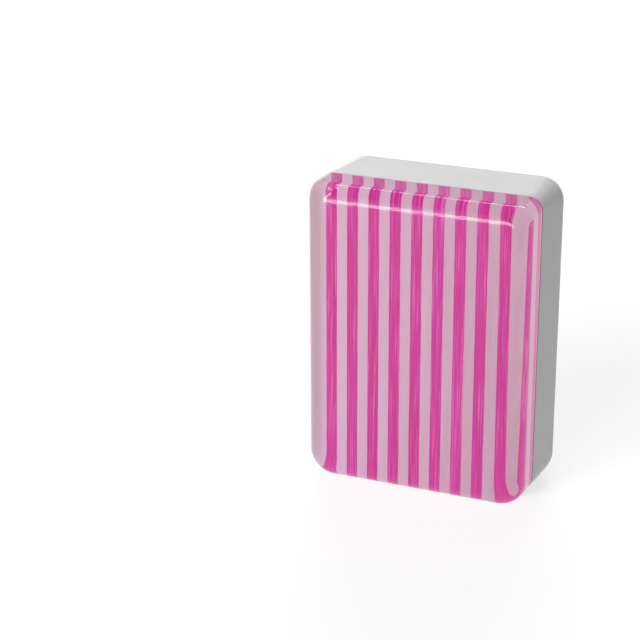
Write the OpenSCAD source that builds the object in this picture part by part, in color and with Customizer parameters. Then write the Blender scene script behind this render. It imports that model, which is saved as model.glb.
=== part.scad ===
// Mahjong tile: a white block with an engraved and painted face, and a clear back over a striped print.
// The tile stands on its short edge. The clear back faces -Y and the engraved face +Y.
// The origin is on the standing surface, under the middle of the tile.

/* [Tile] */
// Height of the tile as it stands
tile_h = 30; // [27:0.5:40]
// Width of the tile
tile_w = 22; // [20:0.5:30]
// Depth of the tile, from the clear back to the engraved face
tile_d = 12; // [10:0.5:18]
// Radius of the two upper outline corners
corner_r = 1.4; // [0.8:0.1:2]
// Radius of the two lower outline corners
base_corner_r = 2.4; // [1:0.1:4]
// Radius of the edge around the engraved face
face_edge_r = 2; // [0.8:0.1:2]
// Radius of the edge around the clear back
back_edge_r = 1.6; // [0.8:0.1:2]

/* [Layers] */
// Thickness of the clear layer
clear_t = 3.3; // [2.5:0.1:5]
// Thickness of the clear adhesive, which flows around the ink
clear_bond_t = 0.2; // [0.15:0.01:0.4]
// Thickness of the printed ink
ink_t = 0.08; // [0.05:0.01:0.12]
// Thickness of the printed sheet
sheet_t = 0.2; // [0.1:0.01:0.4]
// Thickness of the adhesive behind the printed sheet
bond_t = 0.1; // [0.05:0.01:0.3]

/* [Stripes] */
// Distance from one stripe to the next
stripe_pitch = 2.15; // [1.8:0.01:3]
// Width of a stripe
stripe_w = 1.07; // [0.6:0.01:1.4]
// Distance by which the print lies off the middle of the tile
stripe_shift = 0.5; // [0:0.05:0.6]

/* [Engraving] */
// Depth of the grooves
groove_depth = 0.6; // [0.4:0.05:1]
// Distance from the face down to the paint in the grooves
enamel_drop = 0.15; // [0.05:0.05:0.3]
// Flat margin between the rounded edge and the ring
ring_margin = 1.2; // [0.6:0.1:2]
// Width of the ring groove
ring_stroke = 1; // [0.6:0.1:1.4]

/* [Rosette] */
// Number of petals
petal_count = 8; // [6:1:9]
// Width of a petal
petal_w = 2.2; // [1.8:0.1:2.4]
// Width of the groove around a petal
petal_stroke = 0.7; // [0.4:0.05:0.75]
// Distance from the ring to the tip of a petal
petal_gap = 0.7; // [0.4:0.1:1.2]
// Radius of the dimple at the centre
hub_r = 1.2; // [0.8:0.1:1.5]
// Distance from the hub to a petal
hub_gap = 0.8; // [0.6:0.1:1.2]
// Radius of a seed dimple between two petals
seed_r = 0.55; // [0.3:0.05:0.6]
// Distance from the ring to a seed
seed_gap = 0.8; // [0.5:0.1:1]

/* [Blossoms] */
// Flat margin between the rounded edge and a blossom
blossom_margin = 0.75; // [0.4:0.05:1]
// Number of round lobes of a blossom
lobe_count = 5; // [5:1:6]
// Radius of a lobe
lobe_r = 0.8; // [0.7:0.05:0.9]
// Distance from the middle of a blossom to the middle of a lobe
lobe_at_r = 1.05; // [0.9:0.05:1.15]

/* [Hidden] */
// A count above which round shapes are true curves
$fn = 96;
// Cuts run past the surface that they open by this much
overrun = 0.2;
// A full turn, in degrees
turn = 360;

// Planes of the layers, along Y
back_y = -tile_d / 2;
clear_joint_y = back_y + clear_t;
sheet_front_y = clear_joint_y + clear_bond_t;
bond_front_y = sheet_front_y + sheet_t;
block_front_y = bond_front_y + bond_t;
face_y = tile_d / 2;
block_t = face_y - block_front_y;

// Stripes that fit on the print, with the first one at the left of the clear back
stripe_span = tile_w - 2 * stripe_shift - stripe_w;
stripe_count = floor(stripe_span / stripe_pitch) + 1;

// Radii of the ring and of the rosette inside it
ring_r = tile_w / 2 - face_edge_r - ring_margin;
ring_inner_r = ring_r - ring_stroke;
petal_outer_r = ring_inner_r - petal_gap;
petal_inner_r = hub_r + hub_gap;
petal_l = petal_outer_r - petal_inner_r;
petal_arc_r = (petal_l * petal_l + petal_w * petal_w) / (4 * petal_w);
seed_at_r = ring_inner_r - seed_gap - seed_r;

// Places of the blossoms, one near each corner of the face
blossom_r = lobe_at_r + lobe_r;
blossom_x = tile_w / 2 - face_edge_r - blossom_margin - blossom_r;
blossom_z = tile_h / 2 - face_edge_r - blossom_margin - blossom_r;
blossom_sides = [[-1, 1], [1, 1], [-1, -1], [1, -1]];

enamel_t = groove_depth - enamel_drop;

// Outline of the tile as seen from the front, about its own middle
module tile_outline() {
    translate([-tile_w / 2, base_corner_r - tile_h / 2])
        square([tile_w, tile_h - corner_r - base_corner_r]);
    translate([corner_r - tile_w / 2, 0])
        square([tile_w - 2 * corner_r, tile_h / 2]);
    translate([base_corner_r - tile_w / 2, -tile_h / 2])
        square([tile_w - 2 * base_corner_r, tile_h / 2]);
    for (side = [-1, 1]) {
        translate([side * (tile_w / 2 - corner_r), tile_h / 2 - corner_r])
            circle(corner_r);
        translate([side * (tile_w / 2 - base_corner_r), base_corner_r - tile_h / 2])
            circle(base_corner_r);
    }
}

// Lays a flat shape on a plane across the tile, with its thickness growing towards the face
module layer(y, thickness) {
    translate([0, y + thickness, tile_h / 2])
        rotate([90, 0, 0])
            linear_extrude(thickness)
                children();
}

// Section through a slab whose two upper corners are rounded
module slab_section(span, thickness, edge_r) {
    intersection() {
        translate([-span / 2, 0])
            square([span, thickness]);
        union() {
            translate([-span / 2, 0])
                square([span, thickness - edge_r]);
            translate([edge_r - span / 2, 0])
                square([span - 2 * edge_r, thickness]);
            for (side = [-1, 1])
                translate([side * (span / 2 - edge_r), thickness - edge_r])
                    circle(edge_r);
        }
    }
}

// Slab with the tile's outline, flat at z = 0 and with a rounded edge around its upper face
module rounded_slab(thickness, edge_r) {
    intersection() {
        linear_extrude(thickness)
            tile_outline();
        translate([-tile_w / 2 - overrun, 0, 0])
            rotate([90, 0, 90])
                linear_extrude(tile_w + 2 * overrun)
                    slab_section(tile_h, thickness, edge_r);
        translate([0, tile_h / 2 + overrun, 0])
            rotate([90, 0, 0])
                linear_extrude(tile_h + 2 * overrun)
                    slab_section(tile_w, thickness, edge_r);
    }
}

// Flat shapes of the engraving, about the middle of the face
module ring_shape() {
    difference() {
        circle(ring_r);
        circle(ring_inner_r);
    }
}

module leaf(arc_r) {
    intersection_for(side = [-1, 1])
        translate([side * (petal_arc_r - petal_w / 2), 0])
            circle(arc_r);
}

module petal_shape(i) {
    rotate((i - 1) * turn / petal_count)
        translate([0, petal_inner_r + petal_l / 2])
            difference() {
                leaf(petal_arc_r);
                leaf(petal_arc_r - petal_stroke);
            }
}

module seed_shape(i) {
    rotate((i - 1 / 2) * turn / petal_count)
        translate([0, seed_at_r])
            circle(seed_r);
}

module hub_shape() {
    circle(hub_r);
}

module blossom_shape(i) {
    translate([blossom_sides[i - 1][0] * blossom_x, blossom_sides[i - 1][1] * blossom_z]) {
        circle(lobe_at_r);
        for (lobe = [1:lobe_count])
            rotate(lobe * turn / lobe_count)
                translate([0, lobe_at_r])
                    circle(lobe_r);
    }
}

module groove() {
    layer(face_y - groove_depth, groove_depth + overrun)
        children();
}

module enamel() {
    layer(face_y - groove_depth, enamel_t)
        children();
}

module stripe_shape(i) {
    x = (i - (stripe_count + 1) / 2) * stripe_pitch + stripe_shift;
    intersection() {
        tile_outline();
        translate([x, 0])
            square([stripe_w, tile_h], center = true);
    }
}

// The pieces
module face_block() {
    color("white")
        difference() {
            translate([0, block_front_y, tile_h / 2])
                rotate([90, 0, 180])
                    rounded_slab(block_t, face_edge_r);
            groove() ring_shape();
            groove() hub_shape();
            for (i = [1:petal_count]) {
                groove() petal_shape(i);
                groove() seed_shape(i);
            }
            for (i = [1:len(blossom_sides)])
                groove() blossom_shape(i);
        }
}

module ring_enamel() {
    color("black") enamel() ring_shape();
}

module petal_enamel(i) {
    color("darkgreen") enamel() petal_shape(i);
}

module seed_enamel(i) {
    color("darkgreen") enamel() seed_shape(i);
}

module hub_enamel() {
    color("darkgreen") enamel() hub_shape();
}

module blossom_enamel(i) {
    color("firebrick") enamel() blossom_shape(i);
}

module bond_film() {
    color("ivory") layer(bond_front_y, bond_t) tile_outline();
}

module pattern_sheet() {
    color("thistle") layer(sheet_front_y, sheet_t) tile_outline();
}

module stripe_ink(i) {
    color("mediumvioletred") layer(sheet_front_y - ink_t, ink_t) stripe_shape(i);
}

module clear_bond() {
    color("lavender", 0.4)
        difference() {
            layer(clear_joint_y, clear_bond_t) tile_outline();
            for (i = [1:stripe_count])
                layer(sheet_front_y - ink_t, ink_t) stripe_shape(i);
        }
}

module clear_back() {
    color("lavender", 0.4)
        translate([0, clear_joint_y, tile_h / 2])
            rotate([90, 0, 0])
                rounded_slab(clear_t, back_edge_r);
}

face_block();
ring_enamel();
for (i = [1:petal_count])
    petal_enamel(i);
for (i = [1:petal_count])
    seed_enamel(i);
hub_enamel();
for (i = [1:len(blossom_sides)])
    blossom_enamel(i);
bond_film();
pattern_sheet();
for (i = [1:stripe_count])
    stripe_ink(i);
clear_bond();
clear_back();
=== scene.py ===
# Looks of a mahjong tile: a white block with an engraved, painted face,
# and a clear back over a striped print.
# Everything is in metres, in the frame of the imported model. The clear back faces -Y, the engraved face +Y.
import math

import bmesh
import bpy
import numpy as np
from mathutils import Matrix, Vector
from mathutils.geometry import delaunay_2d_cdt


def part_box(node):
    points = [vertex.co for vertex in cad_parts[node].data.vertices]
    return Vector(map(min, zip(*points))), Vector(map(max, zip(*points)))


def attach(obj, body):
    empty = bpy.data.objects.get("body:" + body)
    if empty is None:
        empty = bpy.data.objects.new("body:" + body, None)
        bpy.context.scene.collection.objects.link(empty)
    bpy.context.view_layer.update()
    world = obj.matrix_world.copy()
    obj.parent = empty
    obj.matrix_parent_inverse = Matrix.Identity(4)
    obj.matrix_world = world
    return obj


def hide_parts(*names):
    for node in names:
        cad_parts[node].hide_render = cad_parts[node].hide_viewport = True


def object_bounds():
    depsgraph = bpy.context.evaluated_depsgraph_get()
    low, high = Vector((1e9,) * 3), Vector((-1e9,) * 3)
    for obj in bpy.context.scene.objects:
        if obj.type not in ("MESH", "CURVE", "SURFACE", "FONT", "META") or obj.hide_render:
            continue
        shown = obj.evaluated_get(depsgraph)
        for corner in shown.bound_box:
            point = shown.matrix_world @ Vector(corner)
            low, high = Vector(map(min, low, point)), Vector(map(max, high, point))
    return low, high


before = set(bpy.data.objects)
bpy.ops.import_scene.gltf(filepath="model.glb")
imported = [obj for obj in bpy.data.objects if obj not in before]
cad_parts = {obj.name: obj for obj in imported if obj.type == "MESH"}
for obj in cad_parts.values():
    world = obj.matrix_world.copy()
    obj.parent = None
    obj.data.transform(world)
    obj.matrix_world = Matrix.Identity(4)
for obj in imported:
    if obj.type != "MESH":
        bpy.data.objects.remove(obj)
cad_lo, cad_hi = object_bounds()

mm = 0.001

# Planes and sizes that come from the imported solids
tile_w = cad_hi.x - cad_lo.x
tile_h = cad_hi.z - cad_lo.z
middle_z = (cad_lo.z + cad_hi.z) / 2
back_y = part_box("clear_back")[0].y
sheet_front_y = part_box("pattern_sheet")[0].y
block_front_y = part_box("face_block")[0].y
face_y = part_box("face_block")[1].y

# Points closer than this become one, and edges steeper than this stay sharp
weld = 0.0005 * mm
sharp_angle = math.radians(35)

# The clear back and the ink sink into the sheet by the first length,
# and joint faces and stripe ends keep inside the outline by the second
overlap = 0.01 * mm
rim_inset = 0.02 * mm

# Outline corners at the joint between the layers
corner_r = 1.4 * mm
base_corner_r = 2.4 * mm
joint_outline = {
    "Width": tile_w, "Height": tile_h, "Joint Radius": corner_r, "Base Joint Radius": base_corner_r,
    "Border": 0.15 * mm, "Foot Inset": rim_inset, "Corner Steps": 24}

# Edges of the clear back, polished so that they start and end gently; the sides are wider at the base
clear_edges = {
    "Corner Radius": corner_r, "Base Corner Radius": base_corner_r,
    "Tip Radius": 2.2 * mm, "Base Tip Radius": 2.8 * mm,
    "Edge Width": 1.68 * mm, "Edge Depth": 3.25 * mm, "Face Power": 3.02, "Side Power": 3.71,
    "Low Side Width": 1.80 * mm, "High Side Width": 0.92 * mm,
    "Top Width": 0.95 * mm, "Top Depth": 0.9 * mm, "Top Power": 2.2,
    "Base Width": 1.75 * mm, "Base Depth": 1.75 * mm, "Base Power": 2.0,
    "Foot Depth": overlap, "Edge Steps": 64, "Cuts": 5, "Face Closed": True}

# Edges of the block: round ones, with a gentler one along the base
face_edge_r = 2.0 * mm
block_edges = {
    "Corner Radius": 2.1 * mm, "Base Corner Radius": 1.9 * mm,
    "Tip Radius": 3.2 * mm, "Base Tip Radius": 3.2 * mm,
    "Edge Width": face_edge_r, "Edge Depth": 2.1 * mm, "Face Power": 2.0, "Side Power": 2.0,
    "Low Side Width": face_edge_r, "High Side Width": face_edge_r,
    "Top Width": face_edge_r, "Top Depth": face_edge_r, "Top Power": 2.0,
    "Base Width": face_edge_r, "Base Depth": 4.8 * mm, "Base Power": 2.4,
    "Foot Depth": 0.0, "Edge Steps": 28, "Cuts": 0, "Face Closed": False}

# Stripes of the print
stripe_count = 10
stripe_pitch = 2.15 * mm
stripe_shift = 0.5 * mm
ink_t = 0.006 * mm
stripe_print = {
    "Count": stripe_count, "Pitch": stripe_pitch, "Shift": stripe_shift, "Stripe Width": 1.11 * mm,
    "Ink Thickness": ink_t + overlap, "Tile Width": tile_w, "Tile Height": tile_h,
    "Corner Radius": corner_r, "Base Corner Radius": base_corner_r, "Trim": rim_inset,
    "Lean": -0.0045, "Slip": 0.10 * mm, "Slip Lean": -0.0033, "Slip From": 3 * stripe_pitch + stripe_shift,
    "Waver": 0.08 * mm, "Waver Across": 900.0, "Waver Along": 520.0, "Seed": 4.0}

# Engraving, in millimetres about the middle of the face
groove_depth = 0.6
lip_r = 0.06
lip_steps = 4
lip_border = 0.05
# Share of darker grey at the foot of a groove's lip: painted shade in the recess, together with paint residue
lip_residue_and_shade = 0.9
ring_r = 7.8
ring_inner_r = 6.8
ring_points = 240
petal_count = 8
petal_w = 2.2
petal_stroke = 0.7
petal_inner_r = 2.0
petal_outer_r = 6.1
petal_tip_r = 0.3
island_tip_r = 0.16
leaf_points = 26
tip_points = 10
petal_arc_r = ((petal_outer_r - petal_inner_r) ** 2 + petal_w ** 2) / (4 * petal_w)
hub_r = 1.2
hub_points = 72
seed_r = 0.55
seed_at_r = 5.45
seed_points = 40
lobe_count = 5
lobe_r = 0.8
lobe_at_r = 1.05
notch_r = 0.15
lobe_points = 20
notch_points = 7
blossom_x = 6.4
blossom_z = 10.4
blossom_count = 4

# Paint in the grooves: depth at the wall, depth in the middle and how far it reaches into the wall
paint_rim = 0.09
paint_hollow = 0.36
paint_bite = 0.005

# How flat the middle of a paint surface is, how many steps it has,
# and how close those near the rim of a pool are
bead_power = 2.4
hub_power = 3.0
blossom_power = 4.0
bead_steps = 14
petal_steps = 12
pool_crowding = 1.4

# The camera: its turn and tilt, where it aims from the middle of the tile, its distance and its lens
camera_turn = math.radians(23.490)
camera_tilt = math.radians(20.436)
aim_left = 11.068 * mm
aim_rise = 0.768 * mm
camera_far = 192.243 * mm
focal_pixels = 2001.9
picture_pixels = 640
sensor_mm = 36

# Light: what the white surroundings give, how much of the lamps the floor shows near the tile,
# and how much its own white is held back there
world_light = 0.19
floor_tone = 0.36
floor_light = 0.80

# Watts per square metre that give a lamp a level of 1, the white of the background
level_watts = 4

# The floor: its radius, and its gap below the tile
floor_r = 1.2
floor_gap = 0.01 * mm


# Objects and meshes
def new_object(name, data):
    made = bpy.data.objects.new(name, data)
    bpy.context.scene.collection.objects.link(made)
    return made


def finish_mesh(name, shape):
    mesh = bpy.data.meshes.new(name)
    shape.to_mesh(mesh)
    shape.free()
    return mesh


# Node trees
class Output:
    """What a node puts out. Arithmetic on it adds math nodes to its tree."""

    def __init__(self, socket):
        self.socket = socket
        self.tree = socket.id_data

    def calc(self, operation, *others, clamp=False):
        return calc(self.tree, operation, self, *others, clamp=clamp)

    def __add__(self, other):
        return self.calc("ADD", other)

    def __sub__(self, other):
        return self.calc("SUBTRACT", other)

    def __rsub__(self, other):
        return calc(self.tree, "SUBTRACT", other, self)

    def __mul__(self, other):
        return self.calc("MULTIPLY", other)

    def __truediv__(self, other):
        return self.calc("DIVIDE", other)

    def __rtruediv__(self, other):
        return calc(self.tree, "DIVIDE", other, self)

    def __pow__(self, other):
        return self.calc("POWER", other)

    def held(self):
        """The value, held between 0 and 1."""
        return self.calc("MULTIPLY", 1, clamp=True)

    def at_least(self, other):
        return self.calc("MAXIMUM", other)


def add_node(tree, kind, **settings):
    node = tree.nodes.new(kind)
    for name, value in settings.items():
        setattr(node, name, value)
    return node


def feed(socket, value):
    """Links a socket to an output, or writes a plain value into it."""
    if isinstance(value, Output):
        value.tree.links.new(value.socket, socket)
    else:
        socket.default_value = value


def fill(node, inputs):
    for name, value in inputs.items():
        feed(node.inputs[name], value)


def run(tree, kind, inputs, **settings):
    """Adds a node, feeds its inputs and gives its first output."""
    node = add_node(tree, kind, **settings)
    fill(node, inputs)
    return Output(node.outputs[0])


def geo(tree, kind, inputs=None, **settings):
    return run(tree, "GeometryNode" + kind, inputs or {}, **settings)


def calc(tree, operation, *values, clamp=False):
    return run(tree, "ShaderNodeMath", dict(enumerate(values)), operation=operation, use_clamp=clamp)


def vector(tree, x, y, z):
    return run(tree, "ShaderNodeCombineXYZ", {"X": x, "Y": y, "Z": z})


def vectors(operation, first, second):
    return run(first.tree, "ShaderNodeVectorMath", {0: first, 1: second}, operation=operation)


def scaled(first, factor):
    return run(first.tree, "ShaderNodeVectorMath", {0: first, "Scale": factor}, operation="SCALE")


def parts(place):
    """The X, Y and Z of a vector."""
    node = add_node(place.tree, "ShaderNodeSeparateXYZ")
    feed(node.inputs[0], place)
    return [Output(socket) for socket in node.outputs]


def new_tree(name, **inputs):
    """A geometry tree with named inputs of each kind and a material, and the outputs that carry them."""
    tree = bpy.data.node_groups.new(name, "GeometryNodeTree")
    inputs = {"Geometry": ["Geometry"], "Material": ["Material"], **inputs}
    for kind, labels in inputs.items():
        for label in labels:
            tree.interface.new_socket(label, in_out="INPUT", socket_type="NodeSocket" + kind)
    tree.interface.new_socket("Geometry", in_out="OUTPUT", socket_type="NodeSocketGeometry")
    source = add_node(tree, "NodeGroupInput")
    return tree, {socket.name: Output(socket) for socket in source.outputs if socket.name}


def close_tree(geometry, material):
    """Ends a tree with real geometry in one material."""
    tree = geometry.tree
    real = geo(tree, "RealizeInstances", {"Geometry": geometry})
    smooth = geo(tree, "SetShadeSmooth", {"Geometry": real})
    painted = geo(tree, "SetMaterial", {"Geometry": smooth, "Material": material})
    feed(add_node(tree, "NodeGroupOutput").inputs[0], painted)
    return tree


def bake(name, tree, values, start=None):
    """Runs a tree once and keeps what it makes as a plain mesh."""
    maker = new_object(name, start or bpy.data.meshes.new(name))
    modifier = maker.modifiers.new(tree.name, "NODES")
    modifier.node_group = tree
    for item in tree.interface.items_tree:
        if item.in_out == "INPUT" and item.name in values:
            modifier[item.identifier] = values[item.name]
    depsgraph = bpy.context.evaluated_depsgraph_get()
    made = bpy.data.meshes.new_from_object(maker.evaluated_get(depsgraph), depsgraph=depsgraph)
    maker.modifiers.remove(modifier)
    maker.data = made
    made.name = name
    made.materials.clear()
    made.materials.append(values["Material"])
    made.polygons.foreach_set("material_index", [0] * len(made.polygons))
    return maker


def settle(piece):
    """Merges doubles, points the faces outwards and keeps corners sharp."""
    shape = bmesh.new()
    shape.from_mesh(piece.data)
    bmesh.ops.remove_doubles(shape, verts=shape.verts, dist=weld)
    bmesh.ops.recalc_face_normals(shape, faces=shape.faces)
    for face in shape.faces:
        face.smooth = True
    shape.to_mesh(piece.data)
    shape.free()
    piece.data.set_sharp_from_angle(angle=sharp_angle)


# Materials
def new_material(name):
    material = bpy.data.materials.new(name)
    material.use_nodes = True
    tree = material.node_tree
    place = Output(add_node(tree, "ShaderNodeTexCoord").outputs["Object"])
    return material, tree.nodes["Principled BSDF"], place


def show(material, surface):
    feed(material.node_tree.nodes["Material Output"].inputs["Surface"], surface)


def noise(place, grain, detail=2.0):
    """Noise whose grain is given in millimetres along X, Y and Z."""
    scale = [1 / (size * mm) for size in grain]
    spot = run(place.tree, "ShaderNodeMapping", {"Vector": place, "Scale": scale})
    return run(place.tree, "ShaderNodeTexNoise", {"Vector": spot, "Scale": 1.0, "Detail": detail})


def spread(value, low, high, start=0.3, stop=0.7):
    """Maps a value from start to stop onto low to high."""
    return run(value.tree, "ShaderNodeMapRange", {
        "Value": value, "From Min": start, "From Max": stop, "To Min": low, "To Max": high})


def blend_colours(share, *colours):
    node = add_node(share.tree, "ShaderNodeMix", data_type="RGBA")
    feed(node.inputs[0], share)
    for socket, colour in zip(node.inputs[6:], colours):
        feed(socket, colour if isinstance(colour, Output) else (*colour, 1))
    return Output(node.outputs[2])


def bumps(height, depth, strength):
    """Bumps of a depth given in millimetres."""
    return run(height.tree, "ShaderNodeBump", {
        "Height": height, "Distance": depth * mm, "Strength": strength})


def ray_is(tree, *kinds):
    """1 for rays of the named kinds and 0 for others."""
    path = add_node(tree, "ShaderNodeLightPath")
    found = [Output(path.outputs[f"Is {kind} Ray"]) for kind in kinds]
    any_kind = found[0]
    for other in found[1:]:
        any_kind = any_kind.at_least(other)
    return any_kind


def make_white_acrylic():
    material, shader, place = new_material("white_acrylic")
    clouds = spread(noise(place, (6, 6, 6)), 0, 1)
    body = blend_colours(clouds, (0.845, 0.85, 0.84), (0.885, 0.885, 0.88))
    # The lips of the grooves darken to grey: painted shade going down into the recess, together with paint
    # residue
    residue_and_shade = Output(add_node(place.tree, "ShaderNodeAttribute", attribute_name="residue_and_shade").outputs["Fac"])
    fill(shader, {
        "Base Color": blend_colours(residue_and_shade, body, (0.42, 0.43, 0.41)),
        "Roughness": spread(noise(place, (5, 5, 5), 1), 0.2, 0.26),
        "Normal": bumps(noise(place, (1.6, 1.6, 1.6), 3), 0.006, 0.4),
        "IOR": 1.4, "Subsurface Weight": 0.2, "Subsurface Radius": (1, 0.95, 0.9),
        "Subsurface Scale": 0.8 * mm})
    return material


def make_clear_acrylic():
    """Polished acrylic. Lamps and soft light pass it straight, so that the print under it is lit."""
    material, shader, place = new_material("clear_acrylic")
    fill(shader, {
        "Base Color": (0.97, 0.955, 0.965, 1), "IOR": 1.49, "Transmission Weight": 1,
        "Roughness": spread(noise(place, (3, 3, 3), 3), 0.01, 0.035),
        "Normal": bumps(noise(place, (2.2, 2.2, 2.2), 1), 0.003, 0.35)})
    tree = place.tree
    straight = run(tree, "ShaderNodeBsdfTransparent", {"Color": (0.96, 0.94, 0.955, 1)})
    passing = ray_is(tree, "Shadow", "Diffuse")
    show(material, run(tree, "ShaderNodeMixShader", {0: passing, 1: Output(shader.outputs[0]), 2: straight}))
    return material


def make_stripe_ink():
    """Magenta ink, drawn out in fine streaks along the stripe."""
    material, shader, place = new_material("stripe_ink")
    streaks = noise(place, (0.10, 0.4, 6), 3)
    bands = noise(place, (0.5, 1, 14), 2)
    hues = noise(place, (2.4, 1, 30), 1)
    grain = noise(place, (0.09, 0.2, 0.12), 2)
    rosy = blend_colours(spread(bands, 0, 1), (0.60, 0.018, 0.24), (0.71, 0.035, 0.33))
    deep = blend_colours(spread(hues, 0, 0.6), rosy, (0.67, 0.033, 0.40))
    pale = blend_colours(spread(streaks, 0, 1, 0.52, 0.78), deep, (0.88, 0.24, 0.52))
    fill(shader, {
        "Base Color": blend_colours(spread(grain, 0, 0.5, 0.5, 0.9), pale, (0.50, 0.012, 0.21)),
        "Roughness": spread(grain, 0.45, 0.65), "Normal": bumps(streaks, 0.02, 0.5), "IOR": 1.1})
    return material


def make_pale_print():
    """Pale pink print with a faint lilac and rose drift from band to band, duller near the sides."""
    material, shader, place = new_material("pale_print")
    drift = noise(place, (0.8, 2, 16), 2)
    fibre = noise(place, (0.2, 0.4, 3), 3)
    x = parts(place)[0]
    across = spread(x, 0, 1, -8 * mm, 9 * mm)
    rose = blend_colours(across, (0.73, 0.43, 0.58), (0.61, 0.32, 0.42))
    lilac = blend_colours(across, (0.73, 0.48, 0.65), (0.62, 0.37, 0.49))
    tint = blend_colours(spread(drift, 0, 1), rose, lilac)
    tint = blend_colours(spread(fibre, 0, 0.25), tint, (0.77, 0.52, 0.66))
    outer = spread(x.calc("ABSOLUTE"), 0, 0.8, 9.9 * mm, 10.6 * mm)
    fill(shader, {
        "Base Color": blend_colours(outer, tint, (0.51, 0.36, 0.40)),
        "Roughness": spread(fibre, 0.5, 0.7), "IOR": 1.1})
    return material


def make_bond_film():
    material, shader, place = new_material("bond_film")
    milk = noise(place, (0.7, 0.7, 0.7), 3)
    fill(shader, {
        "Base Color": blend_colours(spread(milk, 0, 1), (0.72, 0.66, 0.69), (0.80, 0.77, 0.78)),
        "Roughness": spread(milk, 0.25, 0.4)})
    return material


def make_enamel(name, deep, thin):
    """Glossy hand-filled paint: uneven, and thinner towards the lip of the groove."""
    material, shader, place = new_material(name)
    towards_lip = spread(parts(place)[1], 0, 1, face_y - 0.24 * mm, face_y - 0.10 * mm)
    patches = noise(place, (0.5, 0.5, 0.5), 3)
    crumbs = noise(place, (0.16, 0.16, 0.16), 3)
    fill(shader, {
        "Base Color": blend_colours(towards_lip * spread(patches, 0.05, 0.9), deep, thin),
        "Roughness": spread(patches, 0.14, 0.34), "Normal": bumps(crumbs, 0.03, 0.6), "IOR": 1.3})
    return material


def make_floor_paper():
    """White paper that keeps the soft shadow near the tile and fades into the white background."""
    material, shader, place = new_material("floor_paper")
    tree = place.tree
    tree.nodes.remove(shader)
    away = add_node(tree, "ShaderNodeVectorMath", operation="LENGTH")
    feed(away.inputs[0], place)
    near = spread(Output(away.outputs["Value"]), floor_tone, 0, 60 * mm, 260 * mm)
    tone = run(tree, "ShaderNodeCombineColor", {0: near, 1: near, 2: near})
    paper = run(tree, "ShaderNodeBsdfDiffuse", {"Color": tone})
    seen = ray_is(tree, "Camera", "Glossy", "Transmission")
    glow = run(tree, "ShaderNodeEmission", {"Strength": (1.0 - near * floor_light) * seen})
    show(material, run(tree, "ShaderNodeAddShader", {0: paper, 1: glow}))
    return material


# Slab with a rounded edge around its face, for the block and for the clear back
def by_half(height, upper, lower):
    """One value above the middle of the tile and another one below it."""
    return (upper - lower) * height.calc("GREATER_THAN", 0) + lower


def line_of(tree, count):
    """A line with so many points."""
    return geo(tree, "ResampleCurve", {"Curve": geo(tree, "CurvePrimitiveLine"), "Count": count})


def store(geometry, values, kind):
    """Keeps named values on the points of a geometry."""
    for name, value in values.items():
        geometry = geo(geometry.tree, "StoreNamedAttribute",
                       {"Geometry": geometry, "Name": name, "Value": value}, data_type=kind)
    return geometry


def stored(tree, names, kind):
    return [geo(tree, "InputNamedAttribute", {"Name": name}, data_type=kind) for name in names]


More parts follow.
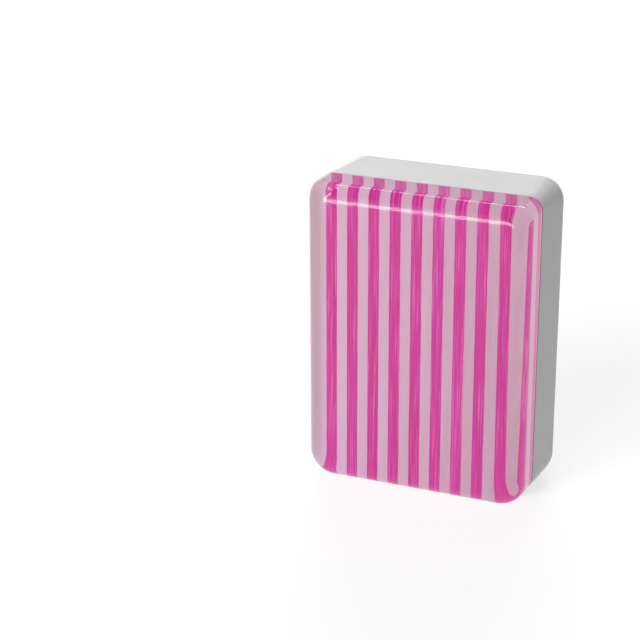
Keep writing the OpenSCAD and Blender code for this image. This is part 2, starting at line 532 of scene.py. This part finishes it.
def make_slab_tree():
    """The face lies in the XY plane and looks along +Z; the body goes down from it."""
    tree, given = new_tree(
        "Rounded slab", Int=["Edge Steps", "Corner Steps", "Cuts"], Bool=["Face Closed"],
        Float=["Width", "Height", "Depth", "Corner Radius", "Base Corner Radius", "Tip Radius",
               "Base Tip Radius", "Joint Radius", "Base Joint Radius",
               "Edge Width", "Edge Depth", "Face Power", "Side Power",
               "Low Side Width", "High Side Width", "Top Width", "Top Depth", "Top Power",
               "Base Width", "Base Depth", "Base Power", "Border", "Foot Inset", "Foot Depth"])
    border, steps = given["Border"], given["Edge Steps"]
    place = geo(tree, "InputPosition")
    index = geo(tree, "InputIndex")
    y, z = parts(place)[1:]

    # Outlines of the face, under the edge and at the joint, with as many points each
    sides = ("Low Side", "High Side", "Top", "Base")
    low, high, top, base = [given[side + " Width"] + border for side in sides]
    inner = geo(tree, "CurvePrimitiveQuadrilateral", {
        "Bottom Width": given["Width"] - low * 2, "Top Width": given["Width"] - high * 2, "Offset": 0.0,
        "Height": given["Height"] - (top + base)}, mode="TRAPEZOID")
    lift = vector(tree, 0, (base - top) * 0.5, 0)
    inner = geo(tree, "Transform", {"Geometry": inner, "Translation": lift})
    tile = geo(tree, "CurvePrimitiveQuadrilateral", {"Width": given["Width"], "Height": given["Height"]})
    outlines = []
    for curve, name in ((inner, "Tip Radius"), (tile, "Corner Radius"), (tile, "Joint Radius")):
        radius = by_half(y, given[name], given["Base " + name])
        curve = geo(tree, "FilletCurve", {
            "Curve": curve, "Count": given["Corner Steps"], "Radius": radius}, mode="POLY")
        outlines.append(geo(tree, "SubdivideCurve", {"Curve": curve, "Cuts": given["Cuts"]}))
    outline = geo(tree, "SetCurveNormal", {"Curve": outlines[0]}, mode="Z_UP")

    # The profile goes along the border, round the edge in steps, down the wall and into the foot.
    # Its Y axis points down.
    past_border = index - 1
    angle = past_border.calc("DIVIDE", steps, clamp=True) * (math.pi / 2)
    past_arc = past_border - steps
    on_rest = past_arc.held()
    on_wall = (past_arc - 1).held()
    on_foot = (past_arc - 2).held()
    rounded_out = angle.calc("SINE").at_least(0) ** (2 / given["Face Power"])
    rounded = {"Edge": angle.calc("COSINE").at_least(0) ** (2 / given["Side Power"])}
    for end in ("Top", "Base"):
        power = given[end + " Power"]
        rounded[end] = (1 - rounded_out ** power).at_least(0) ** (1 / power)
    out = given["Edge Width"] * rounded_out + border * index.held() - given["Foot Inset"] * on_foot
    on_profile = {"out_share": out / (given["Edge Width"] + border), "on_wall": on_wall}
    for name, share in rounded.items():
        depth = given[name + " Depth"]
        wall = given["Depth"] - depth - border
        drop = depth * (1 - share) + border * on_rest + wall * on_wall + given["Foot Depth"] * on_foot
        on_profile[name + " drop"] = drop
    profile = geo(tree, "SetPosition", {
        "Geometry": line_of(tree, steps + 5), "Position": vector(tree, out, on_profile["Edge drop"], 0)})

    # Each point of the edge lies between the outline of the face and the outline under the edge,
    # and each point of the wall between that one and the outline at the joint
    under, at_joint = [geo(tree, "SampleIndex", {"Geometry": curve, "Value": place, "Index": index},
                           data_type="FLOAT_VECTOR", domain="POINT") for curve in outlines[1:]]
    on_rim = {"inner_place": place, "step_out": vectors("SUBTRACT", under, place),
              "step_joint": vectors("SUBTRACT", at_joint, under)}
    rim = store(outline, on_rim, "FLOAT_VECTOR")
    shell = geo(tree, "CurveToMesh", {"Curve": rim, "Profile Curve": store(profile, on_profile, "FLOAT")})
    inner_place, step_out, step_joint = stored(tree, on_rim, "FLOAT_VECTOR")
    out_share, along_wall, edge_drop, top_drop, base_drop = stored(tree, on_profile, "FLOAT")
    spot = vectors("ADD", inner_place, scaled(step_out, out_share))
    spot = vectors("ADD", spot, scaled(step_joint, along_wall))

    # Round a corner the drop changes from that of the side to that of the top or the base
    rim_x, rim_y = parts(vectors("ADD", inner_place, step_out))[:2]
    rim_r = by_half(rim_y, given["Corner Radius"], given["Base Corner Radius"])
    squares = []
    for along, size in ((rim_x, given["Width"]), (rim_y, given["Height"])):
        past = (along.calc("ABSOLUTE") - (size * 0.5 - rim_r)).at_least(0)
        squares.append(past * past)
    on_end = squares[1] / (squares[0] + squares[1])
    drop = (by_half(rim_y, top_drop, base_drop) - edge_drop) * on_end + edge_drop
    spot = vectors("ADD", spot, vector(tree, 0, 0, drop * -1))
    shell = geo(tree, "SetPosition", {"Geometry": shell, "Position": spot})
    for name in (*on_rim, *on_profile):
        shell = geo(tree, "RemoveAttribute", {"Geometry": shell, "Name": name})

    # The joint face fills the last loop of the wall, and the flat face the first one.
    # Edges with fewer than two faces are open.
    total = given["Depth"] + given["Foot Depth"]
    is_open = geo(tree, "InputMeshEdgeNeighbors").calc("LESS_THAN", 2)
    is_low = z.calc("LESS_THAN", total * -0.5)
    last_loop = geo(tree, "MeshToCurve", {"Mesh": shell, "Selection": is_open * is_low})
    joint = geo(tree, "FillCurve", {"Curve": last_loop}, mode="NGONS")
    joint = geo(tree, "Transform", {"Geometry": joint, "Translation": vector(tree, 0, 0, total * -1)})
    face = geo(tree, "FillCurve", {"Curve": outline}, mode="NGONS")
    face = geo(tree, "Switch", {"Switch": given["Face Closed"], "True": face}, input_type="GEOMETRY")
    whole = add_node(tree, "GeometryNodeJoinGeometry")
    for part in (shell, joint, face):
        feed(whole.inputs[0], part)
    merged = geo(tree, "MergeByDistance", {"Geometry": Output(whole.outputs[0]), "Distance": weld})
    return close_tree(merged, given["Material"])


# Stripes of ink
def make_stripe_tree():
    """A row of printed stripes whose ends follow the outline of the tile and whose edges waver a little."""
    tree, given = new_tree("Printed stripes", Int=["Count"], Float=[
        "Pitch", "Shift", "Stripe Width", "Ink Thickness", "Tile Width", "Tile Height", "Corner Radius",
        "Base Corner Radius", "Trim", "Lean", "Slip", "Slip Lean", "Slip From", "Waver", "Waver Across",
        "Waver Along", "Seed"])
    start = (given["Count"] - 1) * -0.5 * given["Pitch"] + given["Shift"]
    row = geo(tree, "MeshLine", {
        "Count": given["Count"], "Start Location": vector(tree, start, 0, 0),
        "Offset": vector(tree, given["Pitch"], 0, 0)})
    size = vector(tree, given["Stripe Width"], given["Ink Thickness"], given["Tile Height"])
    stripe = geo(tree, "MeshCube", {"Size": size, "Vertices X": 7, "Vertices Y": 2, "Vertices Z": 181})
    stripes = geo(tree, "InstanceOnPoints", {"Points": row, "Instance": stripe})
    stripes = geo(tree, "RealizeInstances", {"Geometry": stripes})

    # Each edge wavers by itself, because the noise runs fast across the stripes and slowly along them
    x, y, z = parts(geo(tree, "InputPosition"))
    spot = vector(tree, x * given["Waver Across"], 0, z * given["Waver Along"])
    ripple = run(tree, "ShaderNodeTexNoise", {
        "Vector": spot, "W": given["Seed"], "Scale": 1.0, "Detail": 2.5}, noise_dimensions="4D")
    slipped = x.calc("GREATER_THAN", given["Slip From"])
    new_x = x + (ripple - 0.5) * given["Waver"] * (1 - slipped)

    # The print lies a little askew, and its last stripes have slipped outwards
    new_x = new_x + z * given["Lean"] + slipped * (z * given["Slip Lean"] + given["Slip"])

    # Points move so that the ends of the stripes lie on the outline, less the trim
    corner = by_half(z, given["Corner Radius"], given["Base Corner Radius"])
    radius = corner - given["Trim"]
    beyond = (new_x.calc("ABSOLUTE") - (given["Tile Width"] * 0.5 - corner)).at_least(0)
    rise = (radius * radius - beyond * beyond).at_least(0).calc("SQRT")
    half = given["Tile Height"] * 0.5
    new_z = z * ((half - corner + rise) / half)
    stripes = geo(tree, "SetPosition", {"Geometry": stripes, "Position": vector(tree, new_x, y, new_z)})
    return close_tree(stripes, given["Material"])


# Paint that follows a ring groove
def make_ring_tree():
    """A bead of paint with a hollow top, round a ring that lies in the XY plane with its top up."""
    tree, given = new_tree("Ring of paint", Int=["Steps", "Round Steps"],
                           Float=["Radius", "Stroke", "Depth", "Rim", "Hollow", "Power"])
    circle = geo(tree, "CurvePrimitiveCircle", {
        "Resolution": given["Round Steps"], "Radius": given["Radius"]})
    circle = geo(tree, "SetCurveNormal", {"Curve": circle}, mode="Z_UP")
    index = geo(tree, "InputIndex")
    across = index.calc("DIVIDE", given["Steps"], clamp=True)
    past = index - given["Steps"]
    side = (across - (past - 1).held()) * 2 - 1
    bowl = 1 - side.calc("ABSOLUTE") ** given["Power"]
    deep = (given["Hollow"] - given["Rim"]) * bowl + given["Rim"]
    deep = (given["Depth"] - deep) * past.held() + deep
    spot = vector(tree, side * (given["Stroke"] * 0.5), deep, 0)
    profile = geo(tree, "SetPosition", {"Geometry": line_of(tree, given["Steps"] + 3), "Position": spot})
    profile = geo(tree, "SetSplineCyclic", {"Geometry": profile, "Cyclic": True})
    bead = geo(tree, "CurveToMesh", {"Curve": circle, "Profile Curve": profile})
    return close_tree(bead, given["Material"])


# Paint that repeats around the hub or at the corners
def make_round_tree():
    """Copies of the object's own mesh, turned about the Y axis through a centre."""
    tree, given = new_tree("Around the hub", Int=["Count"], Float=["First Turn"], Vector=["Centre"])
    away = scaled(given["Centre"], -1.0)
    own = geo(tree, "Transform", {"Geometry": given["Geometry"], "Translation": away})
    spots = geo(tree, "MeshLine", {
        "Count": given["Count"], "Start Location": given["Centre"], "Offset": (0, 0, 0)})
    turn = (geo(tree, "InputIndex") + given["First Turn"]) / given["Count"] * math.tau
    copies = geo(tree, "InstanceOnPoints", {
        "Points": spots, "Instance": own, "Rotation": vector(tree, 0, turn, 0)})
    return close_tree(copies, given["Material"])


def make_corner_tree():
    """Copies of the object's own mesh at the four corners of an upright rectangle."""
    tree, given = new_tree("At the corners", Float=["Span X", "Span Z"])
    spots = geo(tree, "MeshGrid", {
        "Size X": given["Span X"], "Size Y": given["Span Z"], "Vertices X": 2, "Vertices Y": 2})
    spots = geo(tree, "Transform", {"Geometry": spots, "Rotation": (math.pi / 2, 0, 0)})
    copies = geo(tree, "InstanceOnPoints", {"Points": spots, "Instance": given["Geometry"]})
    return close_tree(copies, given["Material"])


# Outlines of the engraving, in millimetres about the middle of the face; grow moves them outwards
def arc(centre, radius, first, last, count):
    """Points of an arc without its last one."""
    angles = [first + (last - first) * i / count for i in range(count)]
    return [(centre[0] + radius * math.cos(a), centre[1] + radius * math.sin(a)) for a in angles]


def round_outline(radius, count):
    return arc((0, 0), radius, 0, math.tau, count)


def hub_outline(grow):
    return round_outline(hub_r + grow, hub_points)


def seed_outline(grow):
    return round_outline(seed_r + grow, seed_points)


def leaf_outline(arc_r, tip_r):
    """A leaf that points up, from two arcs and two rounded tips."""
    offset = petal_arc_r - petal_w / 2
    tip = math.sqrt((arc_r - tip_r) ** 2 - offset ** 2)
    lean = math.atan2(tip, offset)
    points = arc((-offset, 0), arc_r, -lean, lean, leaf_points)
    points += arc((0, tip), tip_r, lean, math.pi - lean, tip_points)
    points += arc((offset, 0), arc_r, math.pi - lean, math.pi + lean, leaf_points)
    points += arc((0, -tip), tip_r, math.pi + lean, math.tau - lean, tip_points)
    return [(u, v + (petal_inner_r + petal_outer_r) / 2) for u, v in points]


def petal_outline(grow):
    return leaf_outline(petal_arc_r + grow, petal_tip_r + grow)


def island_outline(grow):
    """The white leaf inside a petal groove; it shrinks as the groove grows."""
    return leaf_outline(petal_arc_r - petal_stroke - grow, island_tip_r - grow)


def blossom_outline(grow):
    """Round lobes, one of them up, with softened notches between them."""
    half = math.pi / lobe_count
    notch_at = lobe_at_r * math.cos(half)
    notch_at += math.sqrt((lobe_r + notch_r) ** 2 - (lobe_at_r * math.sin(half)) ** 2)
    lean = math.atan2(notch_at * math.sin(half), notch_at * math.cos(half) - lobe_at_r)
    points = []
    for lobe in range(lobe_count):
        turn = math.pi / 2 + 2 * half * lobe
        middle = (lobe_at_r * math.cos(turn), lobe_at_r * math.sin(turn))
        points += arc(middle, lobe_r + grow, turn - lean, turn + lean, lobe_points)
        notch = (notch_at * math.cos(turn + half), notch_at * math.sin(turn + half))
        first, last = turn + lean + math.pi, turn + 2 * half - lean + math.pi
        points += arc(notch, notch_r - grow, first, last, notch_points)
    return points


def turned(points, angle):
    """Points turned clockwise as seen from the clear back."""
    c, s = math.cos(angle), math.sin(angle)
    return [(u * c + v * s, v * c - u * s) for u, v in points]


def moved(points, u0, v0):
    return [(u + u0, v + v0) for u, v in points]


def on_face(point, depth):
    """A point of the face, so far below it, in the frame."""
    return Vector((point[0] * mm, face_y - depth * mm, middle_z + point[1] * mm))


def grooves():
    """For each groove the outline functions of its walls: one wall, or an outer and an inner one."""
    found = [[lambda grow: round_outline(ring_r + grow, ring_points),
              lambda grow: round_outline(ring_inner_r - grow, ring_points)], [hub_outline]]
    for i in range(petal_count):
        angle = i * math.tau / petal_count
        between = angle + math.pi / petal_count
        found.append([lambda grow, angle=angle: turned(petal_outline(grow), angle),
                      lambda grow, angle=angle: turned(island_outline(grow), angle)])
        found.append([lambda grow, angle=between: turned(moved(seed_outline(grow), 0, seed_at_r), angle)])
    for x in (-blossom_x, blossom_x):
        for z in (-blossom_z, blossom_z):
            found.append([lambda grow, x=x, z=z: moved(blossom_outline(grow), x, z)])
    return found


# The block
def bridge(shape, first, second):
    """Faces between two loops of as many points."""
    count = len(first)
    for i in range(count):
        j = (i + 1) % count
        shape.faces.new((first[i], first[j], second[j], second[i]))


def border_loop(shape):
    """The points around the open face of the block, in order."""
    edges = [edge for edge in shape.edges if edge.is_boundary]
    loop = [edges[0].verts[0], edges[0].verts[1]]
    used = {edges[0]}
    while True:
        following = [edge for edge in loop[-1].link_edges if edge.is_boundary and edge not in used]
        if not following:
            return loop[:-1]
        used.add(following[0])
        loop.append(following[0].other_vert(loop[-1]))


def inside(points, loop):
    """For each point, whether it lies inside a loop."""
    u, v = points[:, 0], points[:, 1]
    found = np.zeros(len(points), bool)
    for (u0, v0), (u1, v1) in zip(loop, loop[1:] + loop[:1]):
        if v0 != v1:
            crosses = (v0 > v) != (v1 > v)
            found ^= crosses & (u < (u1 - u0) * (v - v0) / (v1 - v0) + u0)
    return found


def engrave(block):
    """Closes the block with its engraved face: flat land, softened lips, walls and floors of the grooves."""
    shape = bmesh.new()
    shape.from_mesh(block.data)
    residue_and_shade = shape.verts.layers.float.new("residue_and_shade")
    border = border_loop(shape)
    flat_points = [(v.co.x / mm, (v.co.z - middle_z) / mm) for v in border]
    flat_verts = list(border)
    loops = [list(range(len(border)))]
    walls = []
    for outlines in grooves():
        bottoms = []
        for outline in outlines:
            points = outline(lip_r + lip_border)
            previous = [shape.verts.new(on_face(p, 0)) for p in points]
            loops.append(list(range(len(flat_verts), len(flat_verts) + len(points))))
            flat_points += points
            flat_verts += previous
            walls.append(points)
            for step in range(lip_steps + 1):
                angle = step / lip_steps * math.pi / 2
                grow = lip_r * (1 - math.sin(angle))
                depth = lip_r * (1 - math.cos(angle))
                following = [shape.verts.new(on_face(p, depth)) for p in outline(grow)]
                for vert in following:
                    # The lip grows darker as it curves down into the groove: painted shade, together with
                    # paint residue
                    vert[residue_and_shade] = lip_residue_and_shade * (step / lip_steps) ** 2
                bridge(shape, previous, following)
                previous = following
            bottom = [shape.verts.new(on_face(p, groove_depth)) for p in outline(0)]
            bridge(shape, previous, bottom)
            bottoms.append(bottom)
        if len(bottoms) == 2:
            bridge(shape, bottoms[0], bottoms[1])
        else:
            shape.faces.new(bottoms[0])

    # The flat land is what lies inside the border and inside an even number of groove walls
    edges = [(loop[i], loop[(i + 1) % len(loop)]) for loop in loops for i in range(len(loop))]
    only_inside = 1
    too_close = 1e-6
    land = delaunay_2d_cdt([Vector(p) for p in flat_points], edges, [loops[0]], only_inside, too_close)
    spots, corners, origins = land[0], land[2], land[3]
    middles = np.array([[sum(spots[i][k] for i in tri) / 3 for k in (0, 1)] for tri in corners])
    hidden = np.zeros(len(middles), bool)
    for loop in walls:
        hidden ^= inside(middles, loop)
    for tri, covered in zip(corners, hidden):
        if not covered:
            shape.faces.new([flat_verts[origins[i][0]] for i in tri])
    shape.to_mesh(block.data)
    shape.free()


# Paint in the petals, seeds, hub and blossoms
def hollow(side, power):
    """Depth of the paint from its edge, at -1 or 1, to its middle, at 0."""
    return paint_rim + (paint_hollow - paint_rim) * (1 - abs(side) ** power)


def petal_paint(name):
    """Paint of the petal that points up: a closed tube round the leaf, with a hollow top."""
    shape = bmesh.new()
    outer = petal_outline(paint_bite)
    inner = island_outline(paint_bite)
    rows = [[on_face(p, groove_depth) for p in outer]]
    for step in range(petal_steps + 1):
        share = step / petal_steps
        depth = hollow(2 * share - 1, bead_power)
        rows.append([on_face((a[0] + (b[0] - a[0]) * share, a[1] + (b[1] - a[1]) * share), depth)
                     for a, b in zip(outer, inner)])
    rows.append([on_face(p, groove_depth) for p in inner])
    loops = [[shape.verts.new(p) for p in row] for row in rows]
    for first, second in zip(loops, loops[1:] + loops[:1]):
        bridge(shape, first, second)
    return finish_paint(name, shape)


def pool_paint(name, outline, power, middle=(0, 0)):
    """Paint that fills a dimple: a closed bowl under the outline, with its rows closer near the rim."""
    shape = bmesh.new()
    rim = outline(paint_bite)
    previous = [shape.verts.new(on_face(p, groove_depth)) for p in moved(rim, *middle)]
    shape.faces.new(previous)
    for step in range(bead_steps):
        share = 1 - (step / bead_steps) ** pool_crowding
        row = moved([(u * share, v * share) for u, v in rim], *middle)
        loop = [shape.verts.new(on_face(p, hollow(share, power))) for p in row]
        bridge(shape, previous, loop)
        previous = loop
    tip = shape.verts.new(on_face(middle, paint_hollow))
    for i, vert in enumerate(previous):
        shape.faces.new((vert, previous[(i + 1) % len(previous)], tip))
    return finish_paint(name, shape)


def finish_paint(name, shape):
    bmesh.ops.recalc_face_normals(shape, faces=shape.faces)
    return finish_mesh(name, shape)


# Camera, lamps and floor
def make_camera():
    aside = Vector((math.cos(camera_turn), math.sin(camera_turn), 0))
    aim = Vector((0, 0, middle_z + aim_rise)) - aside * aim_left
    level = math.cos(camera_tilt)
    back = Vector((math.sin(camera_turn) * level, -math.cos(camera_turn) * level, math.sin(camera_tilt)))
    lens = bpy.data.cameras.new("camera")
    lens.sensor_width = sensor_mm
    lens.lens = focal_pixels / picture_pixels * sensor_mm
    lens.clip_start = 0.01
    lens.clip_end = 20
    camera = new_object("camera", lens)
    camera.location = aim + back * camera_far
    camera.rotation_mode = "QUATERNION"
    camera.rotation_quaternion = (-back).to_track_quat("-Z", "Y")
    bpy.context.scene.camera = camera


def soft_lamp(name, place, size, power):
    """A square soft lamp that looks at the tile and that polished surfaces don't mirror."""
    light = bpy.data.lights.new(name, "AREA")
    light.size = size
    light.energy = power
    lamp = new_object(name, light)
    lamp.location = place
    lamp.rotation_euler = (Vector((0, 0, middle_z)) - Vector(place)).to_track_quat("-Z", "Y").to_euler()
    lamp.visible_glossy = False
    lamp.visible_transmission = False
    lamp.visible_camera = False


def strip_lamp(name, first, last, width, level):
    """A thin lamp between two points that shows only as a bright line in polished surfaces."""
    light = bpy.data.lights.new(name, "AREA")
    light.shape = "RECTANGLE"
    light.size = (last - first).length
    light.size_y = width
    light.energy = level * level_watts * light.size * width
    middle = (first + last) / 2
    along = (last - first).normalized()
    towards = Vector((0, 0, tile_h)) - middle
    facing = (towards - along * towards.dot(along)).normalized()
    up = (-facing).cross(along)
    turn = Matrix((along, up, -facing)).transposed().to_4x4()
    lamp = new_object(name, light)
    lamp.matrix_world = Matrix.Translation(middle) @ turn
    lamp.visible_diffuse = False
    lamp.visible_transmission = False
    lamp.visible_camera = False


def make_lights():
    """Two soft lamps, and strips along lines of points in millimetres, each with a width and a level."""
    soft_lamp("key_lamp", (-0.12, -0.40, 0.24), size=0.30, power=2.2)
    soft_lamp("rear_lamp", (-0.14, 0.44, 0.15), size=0.26, power=2.1)
    left = [(-44.5, -88, 1), (-46.7, -94, 58), (-65, -100, 131), (-82, -70, 203), (-103, 20, 259)]
    over = [left[-1], (20, 30, 265), (150, 75, 215)]
    low = [left[0], (-16.3, -88, 1)]
    for name, points, width, level in (("low", low, 0.45, 6), ("left", left, 0.8, 8), ("over", over, 60, 7)):
        for i, (first, last) in enumerate(zip(points, points[1:])):
            strip_lamp(f"strip_{name}_{i + 1}", Vector(first) * mm, Vector(last) * mm, width * mm, level)


def make_card(name, left, right, level):
    """A dim card between two lines of points, in millimetres, that only polished surfaces mirror."""
    shape = bmesh.new()
    rows = [[shape.verts.new(Vector(p) * mm) for p in pair] for pair in zip(left, right)]
    for first, second in zip(rows, rows[1:]):
        shape.faces.new((first[0], first[1], second[1], second[0]))
    mesh = finish_mesh(name, shape)
    material, shader = new_material(name)[:2]
    fill(shader, {
        "Base Color": (0.03, 0.03, 0.03, 1), "Emission Color": (1, 1, 1, 1), "Emission Strength": level})
    mesh.materials.append(material)
    card = new_object(name, mesh)
    card.visible_camera = False
    card.visible_diffuse = False
    card.visible_transmission = False
    card.visible_shadow = False


def make_cards():
    make_card(
        "front_card", [(-44.5, -89, 1.5), (-47, -95, 58), (-66, -102, 131), (-84, -72, 206), (-105, 22, 264)],
        [(-16.3, -89, 1.5), (8, -96, 58), (12, -103, 131), (16, -74, 206), (26, 32, 270)], level=0.3)
    make_card(
        "top_card", [(-105, 22, 264), (-150, 200, 300), (-240, 500, 200), (-260, 520, 60)],
        [(26, 32, 270), (20, 200, 300), (0, 500, 200), (0, 520, 60)], level=0.42)


def make_world():
    """White behind everything that is seen, and a softer level for the light that it gives."""
    world = bpy.data.worlds.new("studio")
    bpy.context.scene.world = world
    world.use_nodes = True
    seen = ray_is(world.node_tree, "Camera", "Glossy", "Transmission")
    fill(world.node_tree.nodes["Background"], {
        "Color": (1, 1, 1, 1), "Strength": spread(seen, world_light, 1.0, 0, 1)})


def make_floor():
    shape = bmesh.new()
    bmesh.ops.create_circle(shape, cap_ends=True, segments=128, radius=floor_r)
    bmesh.ops.translate(shape, verts=shape.verts, vec=(0, 0, cad_lo.z - floor_gap))
    mesh = finish_mesh("floor", shape)
    mesh.materials.append(make_floor_paper())
    new_object("floor", mesh)


# Putting the tile together
def keep(piece, slot, *nodes):
    settle(piece)
    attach(piece, "root")
    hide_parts(*nodes)


def numbered(name, count):
    return [f"{name}_{i}" for i in range(1, count + 1)]


def build_tile():
    upright = Matrix.Rotation(math.pi / 2, 4, "X")
    to_back = Matrix.Translation((0, back_y, middle_z)) @ upright
    to_face = Matrix.Translation((0, face_y, middle_z)) @ Matrix.Rotation(math.pi, 4, "Z") @ upright
    slab_tree = make_slab_tree()
    clear = bake("clear_back_polished", slab_tree, {
        **joint_outline, **clear_edges, "Depth": sheet_front_y - back_y, "Material": make_clear_acrylic()})
    clear.data.transform(to_back)
    keep(clear, "clear_acrylic", "clear_back", "clear_bond")

    block = bake("face_block_engraved", slab_tree, {
        **joint_outline, **block_edges, "Depth": face_y - block_front_y, "Material": make_white_acrylic()})
    block.data.transform(to_face)
    engrave(block)
    keep(block, "white_block", "face_block")

    stripes = bake("stripe_ink_print", make_stripe_tree(), {**stripe_print, "Material": make_stripe_ink()})
    stripes.data.transform(Matrix.Translation((0, sheet_front_y + (overlap - ink_t) / 2, middle_z)))
    keep(stripes, "stripe_ink", *numbered("stripe_ink", stripe_count))

    black = make_enamel("black_enamel", (0.004, 0.004, 0.005), (0.02, 0.02, 0.022))
    green = make_enamel("green_enamel", (0.006, 0.022, 0.009), (0.05, 0.10, 0.05))
    red = make_enamel("red_enamel", (0.44, 0.013, 0.010), (0.56, 0.05, 0.03))
    ring = bake("ring_enamel_paint", make_ring_tree(), {
        "Radius": (ring_r + ring_inner_r) / 2 * mm, "Stroke": (ring_r - ring_inner_r + 2 * paint_bite) * mm,
        "Depth": groove_depth * mm, "Rim": paint_rim * mm, "Hollow": paint_hollow * mm, "Power": bead_power,
        "Steps": bead_steps, "Round Steps": ring_points, "Material": black})
    ring.data.transform(to_face)
    keep(ring, "black_enamel", "ring_enamel")

    round_tree = make_round_tree()
    seed_paint = pool_paint("seed", seed_outline, bead_power, (0, seed_at_r))
    for name, count, first_turn, paint in (
            ("petal_enamel", petal_count, 0.0, petal_paint("petal")),
            ("seed_enamel", petal_count, 0.5, seed_paint),
            ("hub_enamel", 1, 0.0, pool_paint("hub", hub_outline, hub_power))):
        copies = bake(name + "_paint", round_tree, {
            "Count": count, "First Turn": first_turn, "Centre": (0, 0, middle_z), "Material": green}, paint)
        keep(copies, "green_enamel", *(numbered(name, count) if count > 1 else [name]))
    blossoms = bake("blossom_enamel_paint", make_corner_tree(), {
        "Span X": 2 * blossom_x * mm, "Span Z": 2 * blossom_z * mm, "Material": red},
        pool_paint("blossom", blossom_outline, blossom_power))
    keep(blossoms, "red_enamel", *numbered("blossom_enamel", blossom_count))

    for node, material in (("pattern_sheet", make_pale_print()), ("bond_film", make_bond_film())):
        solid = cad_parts[node]
        solid.data.materials.clear()
        solid.data.materials.append(material)


make_camera()
make_world()
make_lights()
make_floor()
make_cards()
build_tile()

view = bpy.context.scene.view_settings
view.view_transform = "Standard"
